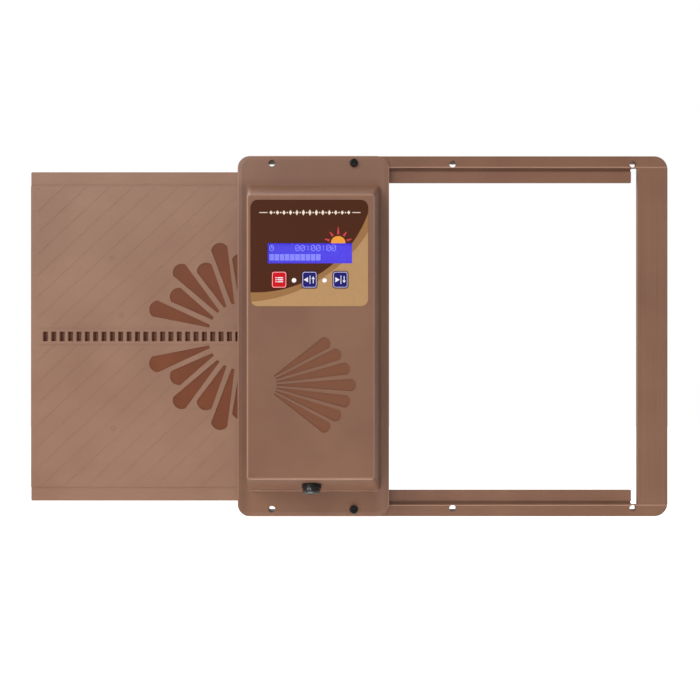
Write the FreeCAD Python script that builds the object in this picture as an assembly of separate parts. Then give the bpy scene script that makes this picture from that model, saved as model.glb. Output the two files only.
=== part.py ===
"""Automatic coop door: a panel with a moulded rack slides sideways across a pop hole.

Millimetres. +X is the way the door closes, -Y is towards a person in front of it, +Z is up. The origin
is the centre of the wall-screw pattern, in the plane of the frame's front flange. The door is modelled
open, fully to the left.
"""

import FreeCAD, Part
import math
import os

V = FreeCAD.Vector
X_AXIS, Y_AXIS, Z_AXIS = V(1, 0, 0), V(0, 1, 0), V(0, 0, 1)

# ---- driving dimensions: frame ----
FRAME_HALF_X = 160.0
FRAME_HALF_Z = 134.0
FRAME_DEPTH = 14.0
FRAME_CORNER = 10.0
SKIN = 3.0
WALL = 2.5
FLANGE_IN_Z = 125.2
FLANGE_BREAK = 0.3
LIP_IN_Z = 114.8
LIP_GROOVE_Z = (122.8, 124.6)
LIP_GROOVE_D = 1.1
LIP_Y0, LIP_Y1 = 2.0, 4.4
LIP_END_X = 133.4
POST_X = 137.6
SLOT_TOP_Z = 129.4
SLOT_END_X = 144.5
POST_LIP_X = 142.5
STOP_X = 151.0
CHANNEL_Z = 123.9
REAR_LIP_Y = 12.0
REAR_LIP_IN_Z = 117.5
WEB_Y0, WEB_Y1 = 2.4, 4.4
WALL_HOLE_X = 134.0
WALL_HOLE_Z = 128.0
WALL_HOLE_R = 2.5
RIB = 1.5
RIB_XS = (-156.0, -141.0, -127.0, -117.0, -88.0, -60.0, -36.0, -7.0, 7.0, 36.0, 66.0, 97.0, 127.0, 146.0)
BACK_SCREW_XS = (-152.0, -102.0, -54.0)
PAD_Y = -1.6
BRACKET_T = 1.5
FOOT_X = 21.25
FOOT_ZS = (-14.0, 18.0)

# ---- driving dimensions: sliding door ----
DOOR_X0, DOOR_X1 = -316.0, -50.0
DOOR_HALF_Z = 123.5
DOOR_Y0, DOOR_Y1 = 5.2, 11.2
DOOR_EDGE_Z = 113.0
DOOR_EDGE_STEP = 0.8
GROOVE_PITCH_X = 17.2
GROOVE_ANGLE = 43.0
GROOVE_W, GROOVE_D = 0.5, 0.12
MOTIF_D = 0.4
MOTIF_X = -158.0

# ---- driving dimensions: rack and pinion ----
MODULE = 2.0
TEETH = 18
PRESSURE = math.radians(20.0)
BACKLASH = 0.30
POCKETS = 40
POCKET_W = 3.9
POCKET_H = 7.2
POCKET_D = 2.6
POCKET_X0 = 9.0
PINION_POCKET = 34
PINION_FACE = 6.4
SHAFT_R = 2.0

# ---- driving dimensions: control box ----
BOX_CX, BOX_CZ = -102.9, -1.3
COVER_X0, COVER_X1 = -159.4, -47.4
COVER_HALF_Z = 133.3
COVER_FLANGE = 3.0
COVER_BEVEL, COVER_BEVEL_D = 3.2, 0.5
COVER_CORNER = 9.2
BOX_DEPTH = 43.0
BOX_BASE_X, BOX_BASE_Z = 49.4, 113.8
BOX_FACE_X, BOX_FACE_Z = 43.6, 97.0
BOX_CORNER, BOX_EDGE, BOX_FOOT = 2.8, 1.2, 1.2
SEAL_HALF_X, SEAL_HALF_Z, SEAL_W, SEAL_T = 52.6, 118.4, 2.0, 1.2
FAN_X, FAN_Z, FAN_STEP = -137.0, -34.0, 11.0
SHELL = 2.5
COVER_SCREW_X = -73.5
LABEL_X0, LABEL_X1, LABEL_Z0, LABEL_Z1 = -143.9, -64.0, 19.5, 91.8
LABEL_R, LABEL_T = 5.0, 0.3
WINDOW_X0, WINDOW_X1, WINDOW_Z0, WINDOW_Z1 = -132.3, -74.9, 48.7, 62.4
KEY_XS = {"menu": -124.4, "open": -103.8, "close": -82.8}
KEY_Z = 37.5
KEY_W, KEY_H, KEY_R = 10.3, 11.3, 1.8
LED_XS = (-114.4, -93.6)
LED_Z = 37.2
LED_R = 1.5
LCD_CX = -103.2
BOARD_X0, BOARD_X1, BOARD_Z0, BOARD_Z1 = -141.5, -63.5, 28.0, 92.0
BOARD_Y0, BOARD_Y1 = -25.6, -24.0
LCD_BACK = -35.2
LCD_BOARD_T = 1.6
TERMINAL_XS = (-116.0, -90.5)
TERMINAL_Z0, TERMINAL_Z1 = 29.5, 37.5

# ---- driving dimensions: gearmotor and power inlet ----
GEARBOX_TOP = -8.0
GEARBOX_H, MOTOR_H = 19.0, 30.8
GEARBOX_R, MOTOR_R = 12.5, 12.2
ARM_Z = 11.0
HUB_TOP = 9.2
SOCKET_X, SOCKET_Y = -103.3, -26.0
SOCKET_R, BARREL_R = 6.8, 5.3
SOCKET_SEAL_T, SOCKET_FLANGE_T = 0.8, 2.2
PIN_R = 1.0
CAP_R, CAP_LENGTH, CAP_DOME = 5.8, 4.0, 2.3

# ---- worked out ----
POCKET_PITCH = math.pi * MODULE
PITCH_R = MODULE * TEETH / 2.0
RACK_PITCH_Y = DOOR_Y0 + 1.0
PINION_Y = RACK_PITCH_Y - PITCH_R
PINION_X = DOOR_X0 + POCKET_X0 + POCKET_W / 2 + PINION_POCKET * POCKET_PITCH
FACE_Y = -BOX_DEPTH
INNER_FACE_Y = FACE_Y + SHELL
DRAFT_X = (BOX_BASE_X - BOX_FACE_X) / BOX_DEPTH
DRAFT_Z = (BOX_BASE_Z - BOX_FACE_Z) / BOX_DEPTH
SLOPE = math.atan(DRAFT_Z)
WALL_LEAN = 1.08
LCD_CZ = (WINDOW_Z0 + WINDOW_Z1) / 2
LCD_FRONT = INNER_FACE_Y + 0.2
MOTOR_BOTTOM = GEARBOX_TOP - GEARBOX_H - MOTOR_H
SOCKET_OUT = V(0, -math.sin(SLOPE), -math.cos(SLOPE))
SOCKET_AT = V(SOCKET_X, SOCKET_Y, BOX_CZ - (BOX_BASE_Z + DRAFT_Z * SOCKET_Y))
SOCKET_FACE = SOCKET_SEAL_T + SOCKET_FLANGE_T
INNER_WALL = -SHELL * WALL_LEAN / math.sqrt(1 + DRAFT_Z ** 2)


# ---- small helpers ----
def box(x0, x1, y0, y1, z0, z1):
    """A block between two opposite corners."""
    return Part.makeBox(x1 - x0, y1 - y0, z1 - z0, V(x0, y0, z0))


def cyl(centre, radius, height, axis=Y_AXIS):
    """A cylinder that starts at centre and runs along axis."""
    return Part.makeCylinder(radius, height, centre, axis)


def along(solid, axis, radius):
    """Round the edges of a block that run along axis."""
    picked = [
        e for e in solid.Edges
        if len(e.Vertexes) == 2
        and abs((e.Vertexes[1].Point - e.Vertexes[0].Point).normalize().dot(axis)) > 0.999
    ]
    return solid.makeFillet(radius, picked)


def plate(x0, x1, z0, z1, y0, y1, radius):
    """A flat plate facing the viewer, with rounded corners."""
    return along(box(x0, x1, y0, y1, z0, z1), Y_AXIS, radius)


def fuse(solids):
    """One solid from several that touch."""
    return solids[0].multiFuse(solids[1:]).removeSplitter()


def mirrored(make):
    """The same feature at the top and at the bottom."""
    top = make()
    return [top, top.mirror(V(0, 0, 0), Z_AXIS)]


def outline(points, y0, y1):
    """A straight-sided outline of (x, z) points, as deep as y0 to y1."""
    wire = Part.makePolygon([V(x, y0, z) for x, z in points + points[:1]])
    return Part.Face(wire).extrude(V(0, y1 - y0, 0))


def ray(cx, cz, angle, r0, r1, w0, w1, y0, y1):
    """A tapered ray with a round outer end, pointing at angle from (cx, cz)."""
    a, b = V(r0, y0, -w0 / 2), V(r1, y0, -w1 / 2)
    c, d = V(r1, y0, w1 / 2), V(r0, y0, w0 / 2)
    tip = V(r1 + w1 / 3, y0, 0)
    wire = Part.Wire([
        Part.makeLine(a, b), Part.Arc(b, tip, c).toShape(), Part.makeLine(c, d), Part.makeLine(d, a),
    ])
    solid = Part.Face(wire).extrude(V(0, y1 - y0, 0))
    solid.rotate(V(0, 0, 0), Y_AXIS, -angle)
    solid.translate(V(cx, 0, cz))
    return solid


def pan_screw(at, axis, head_r, head_h, shank_r, length, slot=0.9):
    """A pan-head screw: at is under the head, axis points from the head to the tip."""
    head = cyl(at - axis * head_h, head_r, head_h, axis)
    crown = [e for e in head.Edges if e.Curve.TypeId == "Part::GeomCircle"
             and (e.CenterOfMass - at).dot(axis) < -head_h / 2]
    head = head.makeFillet(head_h * 0.45, crown)
    shank = cyl(at, shank_r, length, axis)
    screw = head.fuse(shank).removeSplitter()
    across = axis.cross(X_AXIS) if abs(axis.dot(X_AXIS)) < 0.9 else axis.cross(Z_AXIS)
    across.normalize()
    other = axis.cross(across)
    for way, side in ((across, other), (other, across)):
        start = at - axis * (head_h + 0.1) - way * head_r * 0.62 - side * slot / 2
        face = Part.Face(Part.makePolygon([
            start, start + way * head_r * 1.24, start + way * head_r * 1.24 + side * slot,
            start + side * slot, start,
        ]))
        screw = screw.cut(face.extrude(axis * (head_h * 0.55 + 0.1)))
    return screw


def lead(points, bend, radius):
    """A wire: straight runs through points, joined by arcs of radius bend."""
    edges, start = [], points[0]
    for before, at, after in zip(points, points[1:], points[2:]):
        u, v = (before - at).normalize(), (after - at).normalize()
        half = math.acos(max(-1.0, min(1.0, u.dot(v)))) / 2
        reach = bend / math.tan(half)
        centre = at + (u + v).normalize() * (bend / math.sin(half))
        middle = centre + (at - centre).normalize() * bend
        edges.append(Part.makeLine(start, at + u * reach))
        edges.append(Part.Arc(at + u * reach, middle, at + v * reach).toShape())
        start = at + v * reach
    edges.append(Part.makeLine(start, points[-1]))
    path = Part.Wire(edges)
    ring = Part.Wire([Part.Circle(points[0], points[1] - points[0], radius).toShape()])
    return path.makePipeShell([ring], True, False)


def box_half(y, depth_in=0.0):
    """Half width and half height of the raised box at y, less a wall of depth_in."""
    return BOX_BASE_X + DRAFT_X * y - depth_in, BOX_BASE_Z + DRAFT_Z * y - depth_in * WALL_LEAN


def tapered(y0, y1, wall):
    """The raised box between two depths, as a tapered block."""
    wires = []
    for y in (y0, y1):
        hx, hz = box_half(y, wall)
        signs = ((-1, -1), (1, -1), (1, 1), (-1, 1), (-1, -1))
        corners = [V(BOX_CX + sx * hx, y, BOX_CZ + sz * hz) for sx, sz in signs]
        wires.append(Part.makePolygon(corners))
    return Part.makeLoft(wires, True, True)


# ---- frame ----
def hollow_rib(x):
    """A rib across a rail's hollow at x."""
    return box(x - RIB / 2, x + RIB / 2, SKIN, FRAME_DEPTH, CHANNEL_Z + RIB, FRAME_HALF_Z - WALL)


def make_door_frame():
    """The moulded frame: two channelled rails, a post, and the web that carries the drive."""
    half_x, half_z = FRAME_HALF_X, FRAME_HALF_Z
    skin = plate(-half_x, half_x, -half_z, half_z, 0, SKIN, FRAME_CORNER)
    skin = skin.cut(box(-half_x - 1, POST_X, -1, SKIN + 1, -FLANGE_IN_Z, FLANGE_IN_Z))
    rim = plate(-half_x, half_x, -half_z, half_z, 0, FRAME_DEPTH, FRAME_CORNER)
    rim = rim.cut(plate(-half_x + WALL, half_x - WALL, -half_z + WALL, half_z - WALL,
                        -1, FRAME_DEPTH + 1, FRAME_CORNER - WALL))
    rim = rim.cut(box(-half_x - 1, -half_x + WALL + 1, -1, FRAME_DEPTH + 1, -CHANNEL_Z, CHANNEL_Z))
    solids = [skin, rim, box(-half_x, COVER_X1, WEB_Y0, WEB_Y1, -CHANNEL_Z - 1, CHANNEL_Z + 1)]
    solids += mirrored(lambda: box(-half_x, STOP_X, SKIN - 1, FRAME_DEPTH, CHANNEL_Z, CHANNEL_Z + RIB))
    solids += mirrored(lambda: box(COVER_X1 - 1, LIP_END_X, LIP_Y0, LIP_Y1, LIP_IN_Z, CHANNEL_Z + 1))
    solids += mirrored(lambda: box(COVER_X1, LIP_END_X, REAR_LIP_Y, FRAME_DEPTH,
                                   REAR_LIP_IN_Z, CHANNEL_Z + 1))
    solids.append(box(STOP_X, STOP_X + 2, SKIN - 1, FRAME_DEPTH, -CHANNEL_Z - RIB, CHANNEL_Z + RIB))
    solids.append(box(POST_LIP_X, STOP_X + 1, REAR_LIP_Y, FRAME_DEPTH, -CHANNEL_Z - 1, CHANNEL_Z + 1))
    for x in RIB_XS:
        solids += mirrored(lambda: hollow_rib(x))
    for z in (-105.0, -63.0, -21.0, 21.0, 63.0, 105.0):
        solids.append(box(STOP_X + 1, half_x - WALL + 0.5, SKIN - 1, FRAME_DEPTH, z - RIB / 2, z + RIB / 2))
    boss_z0, boss_z1 = CHANNEL_Z + 1, half_z - WALL + 0.5
    solids += mirrored(lambda: box(COVER_SCREW_X - 4, COVER_SCREW_X + 4, SKIN - 1, REAR_LIP_Y,
                                   boss_z0, boss_z1))
    for x in BACK_SCREW_XS:
        solids += mirrored(lambda: box(x - 3.5, x + 3.5, SKIN - 1, REAR_LIP_Y, boss_z0, boss_z1))
    for x, z in bracket_screw_places():
        solids.append(cyl(V(x, PAD_Y, z), 3.4, WEB_Y1 - PAD_Y))
    frame = fuse(solids)
    groove_z0, groove_z1 = LIP_GROOVE_Z
    groove_end = LIP_Y0 + LIP_GROOVE_D
    slots = mirrored(lambda: box(COVER_X1, LIP_END_X + 1, LIP_Y0 - 1, groove_end, groove_z0, groove_z1))
    slots += mirrored(lambda: box(LIP_END_X, SLOT_END_X, SKIN, FRAME_DEPTH + 1, CHANNEL_Z - 1, SLOT_TOP_Z))
    slots += mirrored(lambda: box(LIP_END_X, POST_X, 0, SKIN + 1, CHANNEL_Z - 1, FLANGE_IN_Z))
    slots += mirrored(flange_break)
    frame = frame.cut(Part.makeCompound(slots))
    cuts = [box(-half_x + WALL, COVER_X1, REAR_LIP_Y, FRAME_DEPTH + 1, -half_z + WALL, half_z - WALL)]
    cuts.append(box(-half_x - 1, -half_x + WALL + 1, REAR_LIP_Y, FRAME_DEPTH + 1, -CHANNEL_Z, CHANNEL_Z))
    cuts.append(box(PINION_X - 15.5, PINION_X + 15.5, 0, WEB_Y1 + 1, -4.6, 4.6))
    cuts.append(along(box(-140, -124, 0, WEB_Y1 + 1, -92, -40), Y_AXIS, 3))
    cuts += [cyl(V(x, -1, z), WALL_HOLE_R, SKIN + 2)
             for x in (-WALL_HOLE_X, 0, WALL_HOLE_X) for z in (-WALL_HOLE_Z, WALL_HOLE_Z)]
    cuts += mirrored(lambda: cyl(V(COVER_SCREW_X, -1, WALL_HOLE_Z), 1.5, 11))
    for x in BACK_SCREW_XS:
        cuts += mirrored(lambda: cyl(V(x, SKIN + 1, WALL_HOLE_Z), 1.3, FRAME_DEPTH))
    cuts += [cyl(V(x, PAD_Y - 1, z), 1.3, WEB_Y1 - PAD_Y) for x, z in bracket_screw_places()]
    frame = frame.cut(Part.makeCompound(cuts))
    rim_edges = [e for e in frame.Edges if abs(e.CenterOfMass.y) < 1e-6
                 and on_outer_rim(e, half_x, half_z, FRAME_CORNER)]
    return frame.makeFillet(0.9, rim_edges)


def flange_break():
    """The small chamfer along the inner edge of a rail's flange."""
    low, high = FLANGE_IN_Z - FLANGE_BREAK, FLANGE_IN_Z + FLANGE_BREAK
    points = [V(COVER_X1, -FLANGE_BREAK, low), V(COVER_X1, -FLANGE_BREAK, high + FLANGE_BREAK),
              V(COVER_X1, FLANGE_BREAK * 2, low), V(COVER_X1, -FLANGE_BREAK, low)]
    return Part.Face(Part.makePolygon(points)).extrude(V(POST_X - COVER_X1, 0, 0))


def on_outer_rim(edge, half_x, half_z, corner):
    """Whether an edge of the front face lies on the frame's rounded outer outline."""
    p = edge.valueAt((edge.FirstParameter + edge.LastParameter) / 2)
    dx, dz = abs(p.x) - (half_x - corner), abs(p.z) - (half_z - corner)
    if dx > 0 and dz > 0:
        return abs(math.hypot(dx, dz) - corner) < 0.01
    return abs(abs(p.x) - half_x) < 0.01 or abs(abs(p.z) - half_z) < 0.01


def bracket_screw_places():
    """Where the motor bracket is screwed to the web."""
    return [(PINION_X + s * FOOT_X, z) for s in (-1, 1) for z in FOOT_ZS]


def make_back_plate():
    """The plate that closes the back of the drive end, behind the door."""
    half_z = FRAME_HALF_Z - WALL - 0.3
    sheet = box(-FRAME_HALF_X + WALL + 0.3, COVER_X1 - 0.3, REAR_LIP_Y, FRAME_DEPTH, -half_z, half_z)
    sheet = along(sheet, Y_AXIS, 2.0)
    cuts = [cyl(V(-WALL_HOLE_X, REAR_LIP_Y - 1, s * WALL_HOLE_Z), 5.4, 4) for s in (-1, 1)]
    for x in BACK_SCREW_XS:
        for s in (-1, 1):
            at = V(x, REAR_LIP_Y, s * WALL_HOLE_Z)
            cuts.append(cyl(at - Y_AXIS, 1.6, 4))
            cuts.append(Part.makeCone(1.6, 3.1, 1.5, at + Y_AXIS * 0.5, Y_AXIS))
    for z in (-84, -28, 28, 84):
        cuts.append(plate(-150, -58, z - 14, z + 14, FRAME_DEPTH - 0.6, FRAME_DEPTH + 1, 4))
    return sheet.cut(Part.makeCompound(cuts))


def countersunk(at):
    """A small countersunk screw driven towards -Y, with its head at at."""
    cone = Part.makeCone(1.25, 2.9, 1.6, at - Y_AXIS * 1.6, Y_AXIS)
    shank = cyl(at - Y_AXIS * 9.0, 1.25, 7.8)
    cross = [box(at.x - w, at.x + w, at.y - 0.9, at.y + 1, at.z - h, at.z + h)
             for w, h in ((1.5, 0.35), (0.35, 1.5))]
    return cone.fuse(shank).removeSplitter().cut(Part.makeCompound(cross))


def make_back_screws():
    """Six countersunk screws through the back plate."""
    return Part.makeCompound([countersunk(V(x, FRAME_DEPTH - 0.1, s * WALL_HOLE_Z))
                              for x in BACK_SCREW_XS for s in (-1, 1)])


# ---- sliding door ----
def pocket(x):
    """One blind pocket of the rack, with flanks at the pressure angle, centred on x."""
    lean = math.tan(PRESSURE)
    top = POCKET_W / 2 + lean * 1.0
    floor = POCKET_W / 2 - lean * POCKET_D
    points = [(x - top, DOOR_Y0 - 1), (x + top, DOOR_Y0 - 1), (x + floor, DOOR_Y0 + POCKET_D),
              (x - floor, DOOR_Y0 + POCKET_D)]
    wire = Part.makePolygon([V(px, py, -POCKET_H / 2) for px, py in points + points[:1]])
    return Part.Face(wire).extrude(V(0, 0, POCKET_H))


def make_door_panel():
    """The sliding panel: rebated edges, moulded rack, diagonal grooves and a plain sunburst."""
    panel = along(box(DOOR_X0, DOOR_X1, DOOR_Y0, DOOR_Y1, -DOOR_HALF_Z, DOOR_HALF_Z), Y_AXIS, 1.0)
    cuts = mirrored(lambda: box(DOOR_X0 - 1, DOOR_X1 + 1, DOOR_Y0 - 1, DOOR_Y0 + DOOR_EDGE_STEP,
                                DOOR_EDGE_Z, DOOR_HALF_Z + 1))
    cuts.append(box(DOOR_X0 - 1, DOOR_X0 + 4.5, DOOR_Y0 - 1, DOOR_Y0 + 0.3, -DOOR_HALF_Z, DOOR_HALF_Z))
    cuts += [pocket(DOOR_X0 + POCKET_X0 + POCKET_W / 2 + i * POCKET_PITCH) for i in range(POCKETS)]
    strip_x0, strip_x1 = DOOR_X0 + 6.5, DOOR_X1 - 3.0
    for s in (-1, 1):
        cuts.append(box(strip_x0, strip_x1, DOOR_Y0 - 1, DOOR_Y0 + 0.25, s * 6.2 - 0.25, s * 6.2 + 0.25))
    panel = panel.cut(Part.makeCompound(cuts))
    return panel.cut(diagonal_grooves()).cut(sunburst())


def diagonal_grooves():
    """Fine parallel grooves across the panel, above and below the rack's strip."""
    slope = math.tan(math.radians(GROOVE_ANGLE))
    count = int((DOOR_X1 - DOOR_X0 + 2 * DOOR_EDGE_Z / slope) / GROOVE_PITCH_X) + 1
    half = GROOVE_W / 2 / math.sin(math.radians(GROOVE_ANGLE))
    grooves = []
    for i in range(count):
        x = DOOR_X0 - DOOR_EDGE_Z / slope + (i + 0.5) * GROOVE_PITCH_X
        ends = [(x + z / slope, z) for z in (-DOOR_EDGE_Z, DOOR_EDGE_Z)]
        (xa, za), (xb, zb) = ends
        grooves.append(outline([(xa - half, za), (xa + half, za), (xb + half, zb), (xb - half, zb)],
                               DOOR_Y0 - 1, DOOR_Y0 + GROOVE_D))
    bands = [box(DOOR_X0 + 4.5, DOOR_X1 - 2, DOOR_Y0 - 2, DOOR_Y1, z0, z1)
             for z0, z1 in ((6.45, DOOR_EDGE_Z - 1), (1 - DOOR_EDGE_Z, -6.45))]
    return Part.makeCompound([g.common(b) for g in grooves for b in bands])


def sunburst():
    """Shallow tapered rays all round a point on the rack, clear of the rack's strip."""
    rays = []
    for i in range(6):
        for side in (0, 180):
            for flip in (-1, 1):
                angle = flip * (18 + 14.5 * i) + side
                long_ray = 68.0 if i % 2 == 0 else 58.0
                rays.append(ray(MOTIF_X, 0, angle, 25.0, long_ray, 2.2, 12.5, DOOR_Y0 - 1, DOOR_Y0 + MOTIF_D))
    return rays[0].multiFuse(rays[1:])


# ---- cover ----
def cover_holes():
    """Every opening through the cover."""
    holes = [box(WINDOW_X0 - 0.4, WINDOW_X1 + 0.4, FACE_Y - 1, INNER_FACE_Y + 1,
                 WINDOW_Z0 - 0.4, WINDOW_Z1 + 0.4)]
    holes.append(box(WINDOW_X0 - 2.4, WINDOW_X1 + 2.4, FACE_Y - 1, FACE_Y + LABEL_T + 1.2,
                     WINDOW_Z0 - 2.4, WINDOW_Z1 + 2.4))
    for x in KEY_XS.values():
        holes.append(plate(x - KEY_W / 2 - 0.25, x + KEY_W / 2 + 0.25, KEY_Z - KEY_H / 2 - 0.25,
                           KEY_Z + KEY_H / 2 + 0.25, FACE_Y - 1, INNER_FACE_Y + 1, KEY_R + 0.25))
    holes += [cyl(V(x, FACE_Y - 1, LED_Z), LED_R + 0.15, SHELL + 2) for x in LED_XS]
    for s in (-1, 1):
        holes.append(cyl(V(-WALL_HOLE_X, -COVER_FLANGE - 1, s * WALL_HOLE_Z), WALL_HOLE_R, COVER_FLANGE + 2))
        holes.append(cyl(V(COVER_SCREW_X, -COVER_FLANGE - 1, s * WALL_HOLE_Z), 1.6, COVER_FLANGE + 2))
    holes.append(cyl(SOCKET_AT - SOCKET_OUT * 8, BARREL_R + 0.2, 12, SOCKET_OUT))
    return holes


def make_front_cover():
    """The front moulding: a bevelled flange and a tapered box over the drive and the controls."""
    flange = plate(COVER_X0, COVER_X1, -COVER_HALF_Z, COVER_HALF_Z, -COVER_FLANGE, 0, COVER_CORNER)
    front = [e for e in flange.Edges if abs(e.CenterOfMass.y + COVER_FLANGE) < 1e-6]
    flange = flange.makeChamfer(COVER_BEVEL_D, COVER_BEVEL, front)
    raised = tapered(0, FACE_Y, 0)
    corners = [e for e in raised.Edges if abs(e.Vertexes[0].Y - e.Vertexes[1].Y) > 1]
    raised = raised.makeFillet(BOX_CORNER, corners)
    rim = [e for e in raised.Edges if abs(e.CenterOfMass.y - FACE_Y) < 0.02]
    raised = raised.makeFillet(BOX_EDGE, rim)
    cover = fuse([flange, raised])
    foot = [e for e in cover.Edges if abs(e.CenterOfMass.y + COVER_FLANGE) < 1e-3
            and abs(e.CenterOfMass.x - BOX_CX) < BOX_BASE_X + 0.5
            and abs(e.CenterOfMass.z - BOX_CZ) < BOX_BASE_Z + 0.5]
    cover = cover.makeFillet(BOX_FOOT, foot)
    cavity = tapered(1.0, INNER_FACE_Y, SHELL)
    cover = cover.cut(cavity)
    posts = [cyl(V(x, INNER_FACE_Y - 0.5, z), 3.0, BOARD_Y0 - INNER_FACE_Y + 0.5)
             for x, z in board_screw_places()]
    cover = fuse([cover] + posts)
    cuts = cover_holes()
    cuts += [cyl(V(x, BOARD_Y0 - 9, z), 1.15, 12) for x, z in board_screw_places()]
    cuts.append(plate(LABEL_X0 - 0.15, LABEL_X1 + 0.15, LABEL_Z0 - 0.15, LABEL_Z1 + 0.15,
                      FACE_Y - 1, FACE_Y + LABEL_T, LABEL_R))
    cuts.append(gasket_ring(0.1))
    cuts.append(cover_fan())
    return cover.cut(Part.makeCompound(cuts))


def cover_fan():
    """A plain fan of shallow rays on the lower face of the box."""
    rays = [ray(FAN_X, FAN_Z, FAN_STEP * i, 11.0, 62.0 - 3.0 * abs(i), 0.9, 8.4, FACE_Y - 1, FACE_Y + MOTIF_D)
            for i in range(-3, 4)]
    return rays[0].multiFuse(rays[1:])


def gasket_ring(grow):
    """The seal's ring in the back of the cover's flange, larger all round by grow."""
    hx, hz = SEAL_HALF_X + grow, SEAL_HALF_Z + grow
    in_x, in_z = SEAL_HALF_X - SEAL_W - grow, SEAL_HALF_Z - SEAL_W - grow
    outer = plate(BOX_CX - hx, BOX_CX + hx, -hz, hz, -SEAL_T - grow, 0, 2 * SEAL_W + grow)
    inner = plate(BOX_CX - in_x, BOX_CX + in_x, -in_z, in_z, -SEAL_T - 1, 1, SEAL_W)
    return outer.cut(inner)


def board_screw_places():
    """Where the control board is screwed to the cover's posts."""
    return [(x, z) for x in (BOARD_X0 + 4.0, BOARD_X1 - 4.0) for z in (BOARD_Z0 + 3.8, BOARD_Z1 - 4.0)]


def make_cover_screws():
    """The two black screws that hold the cover's right-hand side."""
    return Part.makeCompound([pan_screw(V(COVER_SCREW_X, -COVER_FLANGE, s * WALL_HOLE_Z), Y_AXIS,
                                        3.0, 2.0, 1.45, 10) for s in (-1, 1)])


def make_label():
    """The printed film on the box's face, cut out round the keys, the lamps and the display."""
    film = plate(LABEL_X0, LABEL_X1, LABEL_Z0, LABEL_Z1, FACE_Y, FACE_Y + LABEL_T, LABEL_R)
    cuts = [box(WINDOW_X0, WINDOW_X1, FACE_Y - 1, FACE_Y + 1, WINDOW_Z0, WINDOW_Z1)]
    for x in KEY_XS.values():
        cuts.append(plate(x - KEY_W / 2 - 0.25, x + KEY_W / 2 + 0.25, KEY_Z - KEY_H / 2 - 0.25,
                          KEY_Z + KEY_H / 2 + 0.25, FACE_Y - 1, FACE_Y + 1, KEY_R + 0.25))
    cuts += [cyl(V(x, FACE_Y - 1, LED_Z), LED_R + 0.15, 2) for x in LED_XS]
    return film.cut(Part.makeCompound(cuts))


# ---- keys, display and electronics ----
def make_key(x):
    """A key cap with side lugs behind the cover and a stem to its switch."""
    cap = plate(x - KEY_W / 2, x + KEY_W / 2, KEY_Z - KEY_H / 2, KEY_Z + KEY_H / 2,
                FACE_Y - 0.6, INNER_FACE_Y + 0.3, KEY_R)
    front = [e for e in cap.Edges if abs(e.CenterOfMass.y - (FACE_Y - 0.6)) < 1e-6]
    cap = cap.makeFillet(0.35, front)
    lug = box(x - KEY_W / 2 - 1.5, x + KEY_W / 2 + 1.5, INNER_FACE_Y + 0.2, INNER_FACE_Y + 1.3,
              KEY_Z - KEY_H / 2 + 0.2, KEY_Z + KEY_H / 2 - 0.2)
    stem = cyl(V(x, INNER_FACE_Y + 1.0, KEY_Z), 1.7, 8.3)
    return fuse([cap, lug, stem])


def make_tact_switches():
    """Three switches on the control board, behind the keys."""
    switches = []
    for x in KEY_XS.values():
        body = box(x - 3, x + 3, BOARD_Y0 - 3.5, BOARD_Y0, KEY_Z - 3, KEY_Z + 3)
        switches.append(body.fuse(cyl(V(x, BOARD_Y0 - 5.0, KEY_Z), 1.75, 1.6)).removeSplitter())
    return Part.makeCompound(switches)


def make_status_lamps():
    """Two lamps on long legs, with their domes in the label's holes."""
    lamps = []
    for x in LED_XS:
        lens = cyl(V(x, FACE_Y + 0.1, LED_Z), LED_R, 5.5)
        tip = [e for e in lens.Edges if abs(e.CenterOfMass.y - (FACE_Y + 0.1)) < 1e-6
               and e.Curve.TypeId == "Part::GeomCircle"]
        lens = lens.makeFillet(0.9, tip)
        base = cyl(V(x, FACE_Y + 5.5, LED_Z), LED_R + 0.4, 1.2)
        legs = [box(x + d - 0.25, x + d + 0.25, FACE_Y + 6.5, BOARD_Y0, LED_Z - 0.25, LED_Z + 0.25)
                for d in (-0.9, 0.9)]
        lamps.append(fuse([lens, base] + legs))
    return Part.makeCompound(lamps)


def make_display_window():
    """The clear lens behind the label's cut-out."""
    return box(WINDOW_X0 - 2.1, WINDOW_X1 + 2.1, FACE_Y + LABEL_T, FACE_Y + LABEL_T + 1.1,
               WINDOW_Z0 - 2.1, WINDOW_Z1 + 2.1)


def make_display_bezel():
    """The display's pressed metal frame."""
    block = box(LCD_CX - 35.6, LCD_CX + 35.6, LCD_FRONT, LCD_BACK, LCD_CZ - 12.1, LCD_CZ + 12.1)
    shell = along(block, Y_AXIS, 1.0)
    pocket_in = box(LCD_CX - 34.6, LCD_CX + 34.6, LCD_FRONT + 0.6, LCD_BACK + 1, LCD_CZ - 11.1, LCD_CZ + 11.1)
    view = box(LCD_CX - 32.2, LCD_CX + 32.2, LCD_FRONT - 1, LCD_FRONT + 1, LCD_CZ - 8.2, LCD_CZ + 8.2)
    return shell.cut(pocket_in).cut(view)


def make_display_glass():
    """The display cell behind the bezel."""
    return box(LCD_CX - 34.4, LCD_CX + 34.4, LCD_FRONT + 0.6, LCD_FRONT + 3.0, LCD_CZ - 10.9, LCD_CZ + 10.9)


def make_display_backlight():
    """The light guide behind the display cell."""
    return box(LCD_CX - 34.4, LCD_CX + 34.4, LCD_FRONT + 3.0, LCD_BACK, LCD_CZ - 10.9, LCD_CZ + 10.9)


def make_display_board():
    """The display's own board, with its corner holes."""
    board = box(LCD_CX - 40, LCD_CX + 40, LCD_BACK, LCD_BACK + LCD_BOARD_T, 40.5, 73.5)
    holes = [cyl(V(LCD_CX + s * 37.5, LCD_BACK - 1, z), 1.25, 4) for s in (-1, 1) for z in (43.0, 71.0)]
    return board.cut(Part.makeCompound(holes))


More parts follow.
